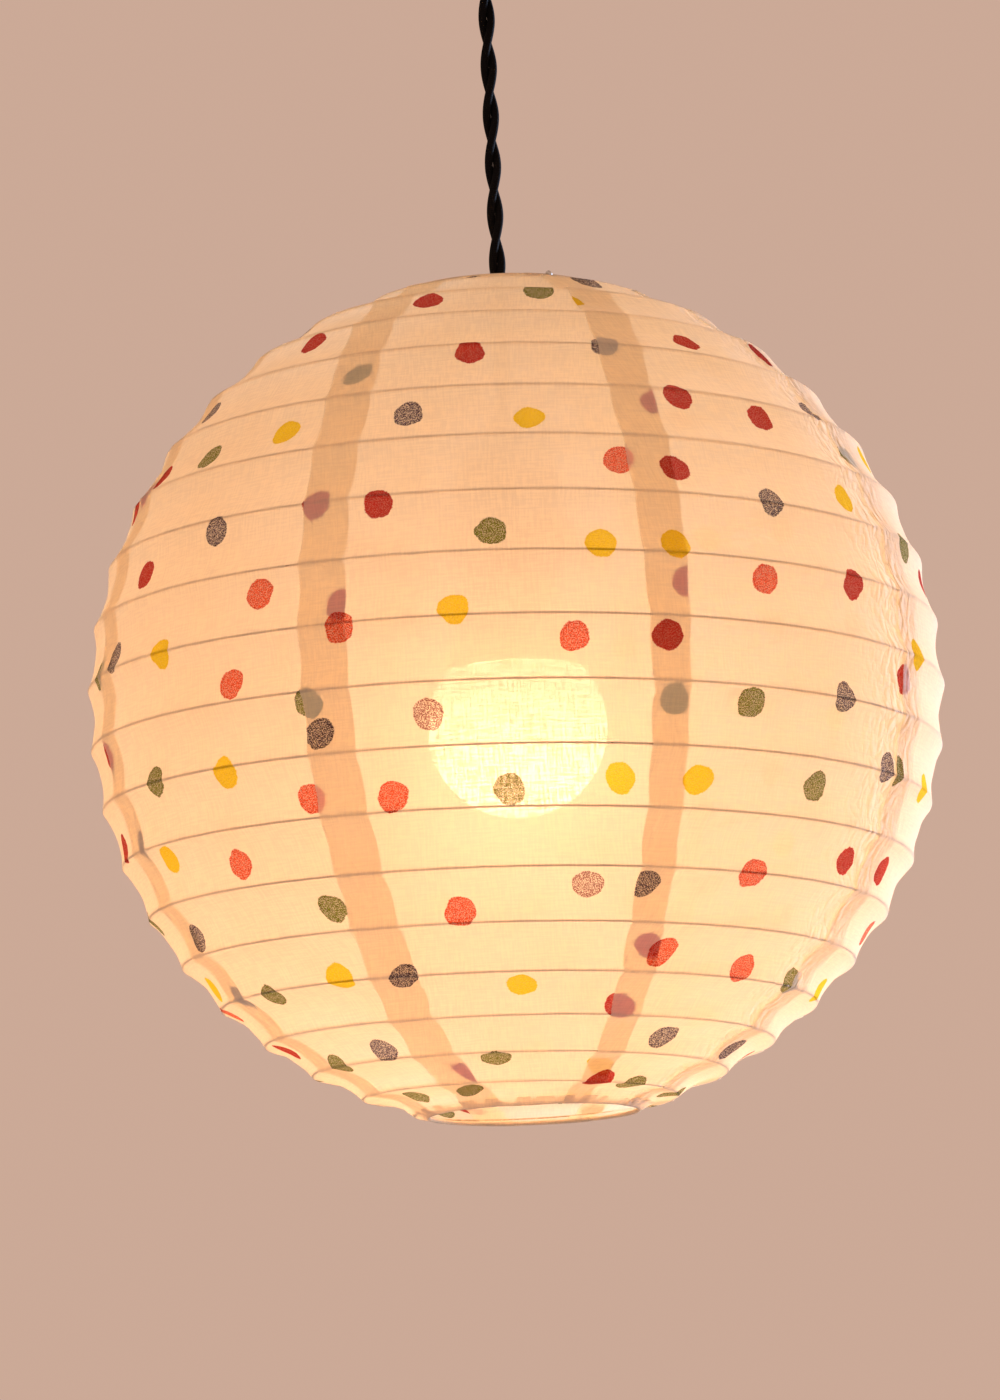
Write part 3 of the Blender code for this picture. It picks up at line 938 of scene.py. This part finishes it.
GLOBE_RADIUS = 0.0368
GLOBE_Z = -0.0111
GLOBE_MOUTH = 0.0120


def globe_profile():
    """From the axis up inside to the mouth, and down outside to the axis again."""
    rim = GLOBE_MOUTH - GLOBE_Z
    points = []
    for radius, inside in ((GLOBE_RADIUS - 0.0013, True), (GLOBE_RADIUS, False)):
        mouth = math.acos(rim / radius)
        for step in range(25):
            share = step / 24
            angle = mouth + (math.pi - mouth) * (share if not inside else 1 - share)
            points.append((radius * math.sin(angle), GLOBE_Z + radius * math.cos(angle)))
    return points


globe = lathe("globe", globe_profile(), SHADE_Z, closed=False)
set_material(globe, OPAL)
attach(globe, "bulb")
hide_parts("bulb_globe")


# ---------------------------------------------------------------- turned pieces


def turned_piece(name, node, body, slot, profile, material, z=SHADE_Z, bend=0.0006, **more):
    """A finely turned stand-in for a CAD piece, its corners rounded."""
    made = lathe(name, rounded(profile, bend), z, **more)
    set_material(made, material)
    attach(made, body)
    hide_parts(node)
    return made


THREAD_PITCH = 0.00363
THREAD_LOW, THREAD_HIGH = 0.0485, 0.0640
NUT_RIBS = 40


def thread(radius, height, angle):
    """A rolled thread's waves on the outer side of the screw cap."""
    if radius < 0.0124 or not THREAD_LOW < height < THREAD_HIGH:
        return 0.0
    return -0.0003 + 0.0003 * math.cos(math.tau * height / THREAD_PITCH - angle)


def knurl(radius, height, angle):
    """Rounded grip ribs round the nut's rim."""
    return -0.0005 + 0.0005 * math.cos(angle * NUT_RIBS) if radius > 0.0262 else 0.0


# Outlines, as (radius, height above the lantern's middle). The rose's heights count from the ceiling
ROSE = [
    (0.0380, -0.0006),
    (0.0380, -0.0200),
    (0.0372, -0.0248),
    (0.0352, -0.0285),
    (0.0320, -0.0308),
    (0.0285, -0.0318),
    (0.0090, -0.0320),
    (0.0078, -0.0316),
    (0.0066, -0.0320),
    (0.0048, -0.0320),
    (0.0048, -0.0298),
    (0.0290, -0.0298),
    (0.0345, -0.0265),
    (0.0358, -0.0220),
    (0.0358, -0.0006),
]
CAP = [
    (0.0064, 0.1077),
    (0.0100, 0.1077),
    (0.0130, 0.1068),
    (0.0158, 0.1050),
    (0.0184, 0.1018),
    (0.0202, 0.0980),
    (0.0213, 0.0940),
    (0.0215, 0.0900),
    (0.0215, 0.0858),
    (0.0211, 0.0854),
    (0.0215, 0.0850),
    (0.0215, 0.0843),
    (0.0193, 0.0843),
    (0.0193, 0.0935),
    (0.0170, 0.0993),
    (0.0135, 0.1033),
    (0.0095, 0.1053),
    (0.0064, 0.1053),
]
SHELL = [
    (0.0215, 0.0840),
    (0.0215, 0.0806),
    (0.0230, 0.0800),
    (0.0230, 0.0762),
    (0.0200, 0.0762),
    (0.0196, 0.0745),
    (0.0200, 0.0728),
    (0.0200, 0.0600),
    (0.0200, 0.0448),
    (0.0195, 0.0440),
    (0.0176, 0.0440),
    (0.0176, 0.0840),
]
NUT = [
    (0.0204, 0.0722),
    (0.0265, 0.0722),
    (0.0275, 0.0712),
    (0.0275, 0.0664),
    (0.0240, 0.0640),
    (0.0240, 0.0620),
    (0.0204, 0.0620),
]
COLLAR = [
    (0.0110, 0.0447),
    (0.0143, 0.0447),
    (0.0160, 0.0420),
    (0.0195, 0.0370),
    (0.0235, 0.0300),
    (0.0262, 0.0220),
    (0.0283, 0.0150),
    (0.0288, 0.0124),
    (0.0269, 0.0124),
    (0.0264, 0.0150),
    (0.0244, 0.0215),
    (0.0217, 0.0290),
    (0.0178, 0.0356),
    (0.0142, 0.0410),
    (0.0110, 0.0426),
]
SCREW_CAP = [
    (0.0052, 0.0660),
    (0.0115, 0.0660),
    *[(0.0131, 0.0645 - 0.00045 * step) for step in range(38)],
    (0.0131, 0.0451),
    (0.0122, 0.0451),
    (0.0122, 0.0642),
    (0.0112, 0.0653),
    (0.0052, 0.0653),
]
GRIP = [
    (0.0066, 0.1180),
    (0.0074, 0.1180),
    (0.0086, 0.1100),
    (0.0086, 0.1081),
    (0.0060, 0.1081),
    (0.0060, 0.1020),
    (0.0042, 0.1020),
    (0.0042, 0.1105),
    (0.0053, 0.1140),
]
turned_piece("rose_cup", "rose_cover", "rose", "black_plastic", ROSE, BLACK, z=0.0, bend=0.0008)
turned_piece("holder_dome", "holder_cap", "lampholder", "black_plastic", CAP, BLACK)
turned_piece("holder_barrel", "holder_shell", "lampholder", "black_plastic", SHELL, BLACK)
turned_piece("ribbed_nut", "shade_ring_nut", "ring_nut", "black_plastic", NUT, BLACK, sides=240, relief=knurl)
turned_piece("flared_grip", "holder_cord_grip", "lampholder", "black_plastic", GRIP, BLACK, bend=0.0003)
turned_piece("bulb_neck", "bulb_collar", "bulb", "white_plastic", COLLAR, WHITE)


threaded_cap = lathe("threaded_cap", SCREW_CAP, SHADE_Z, sides=72, relief=thread)
set_material(threaded_cap, NICKEL)
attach(threaded_cap, "bulb")
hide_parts("bulb_screw_cap")


# The carrier's wires: how many, the first one's angle in degrees, their radius and their loops' radius
HOOKS = 3
FIRST_HOOK = 56.5
HOOK_WIRE = 0.0008
HOOK_LOOP = 0.0016


def hook_wire(number):
    """A spring wire from inside the washer out and up, with a loop round the top hoop."""
    turn = Matrix.Rotation(math.radians(FIRST_HOOK + 360.0 / HOOKS * number), 3, "Z")
    outline = [(0.0232, 0.0741), (0.0272, 0.0741), (0.0292, 0.0750), (0.0306, 0.0775)]
    outline += [(0.0318, 0.0830), (0.0340, 0.1000), (0.0372, 0.1250), (0.0405, 0.1500)]
    wide, height = TOP_HOOP
    outline += [(wide - 0.0034, height - SHADE_Z - 0.006)]
    for degrees in range(185, -131, -15):
        around = math.radians(degrees)
        across, up = HOOK_LOOP * math.cos(around), HOOK_LOOP * math.sin(around)
        outline.append((wide + across, height - SHADE_Z + up))
    points = [turn @ Vector((x, 0.0, SHADE_Z + z)) for x, z in outline]
    return tube(f"hook_wire_{number}", points, HOOK_WIRE, sides=12)


washer = [(0.0207, 0.0756), (0.0247, 0.0756), (0.0247, 0.0726), (0.0207, 0.0726)]
carrier = lathe("washer", rounded(washer, 0.0005), SHADE_Z)
carrier = joined("wire_carrier", [carrier] + [hook_wire(number) for number in range(HOOKS)])
set_material(carrier, NICKEL)
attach(carrier, "shade")
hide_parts("shade_carrier")

CAD_LOOKS = {
    "white_plastic": WHITE,
    "black_plastic": BLACK,
    "ceramic": CERAMIC,
    "circuit_board": BOARD,
    "plated_steel": NICKEL,
    "brass": BRASS,
    "aluminium": ALUMINIUM,
    "coated_wire": COATED,
    "flex_braid": BRAID,
    "opal": OPAL,
    "cloth": COTTON,
}
for part in frame["record"]["subparts"]:
    set_material(frame["nodes"][part["node"]], CAD_LOOKS[part["material_slot"]])


# ---------------------------------------------------------------- room


def pale_world():
    world = bpy.data.worlds.new("room")
    bpy.context.scene.world = world
    world.use_nodes = True
    shade = world.node_tree.nodes["Background"]
    shade.inputs[0].default_value = (0.60, 0.40, 0.31, 1.0)
    shade.inputs[1].default_value = 1.0


def soft_light(name, place, aim, size, power, colour):
    data = bpy.data.lights.new(name, "AREA")
    data.shape = "RECTANGLE"
    data.size, data.size_y = size
    data.energy = power
    data.color = colour
    lamp = bpy.data.objects.new(name, data)
    bpy.context.scene.collection.objects.link(lamp)
    lamp.location = place
    lamp.rotation_mode = "QUATERNION"
    lamp.rotation_quaternion = (Vector(aim) - Vector(place)).to_track_quat("-Z", "Y")


def pale_floor():
    size, z = 60.0, -2.4
    floor = skin(
        "floor",
        [(-size, -size, z), (size, -size, z), (size, size, z), (-size, size, z)],
        [(0, 1, 2, 3)],
    )
    n = Nodes("pale_floor")
    haze = n.noise(n.object_place(), 3.0, 3.0)
    n.principled(Base_Color=n.blend(haze, (0.86, 0.84, 0.82), (0.90, 0.88, 0.86)), Roughness=0.8)
    set_material(floor, n.material)


pale_world()
pale_floor()
soft_light("window", (1.10, 1.03, -0.28), (0.0, 0.0, SHADE_Z), (0.6, 1.4), 66.0, (0.50, 0.68, 1.0))
bpy.context.scene.view_settings.view_transform = "Standard"
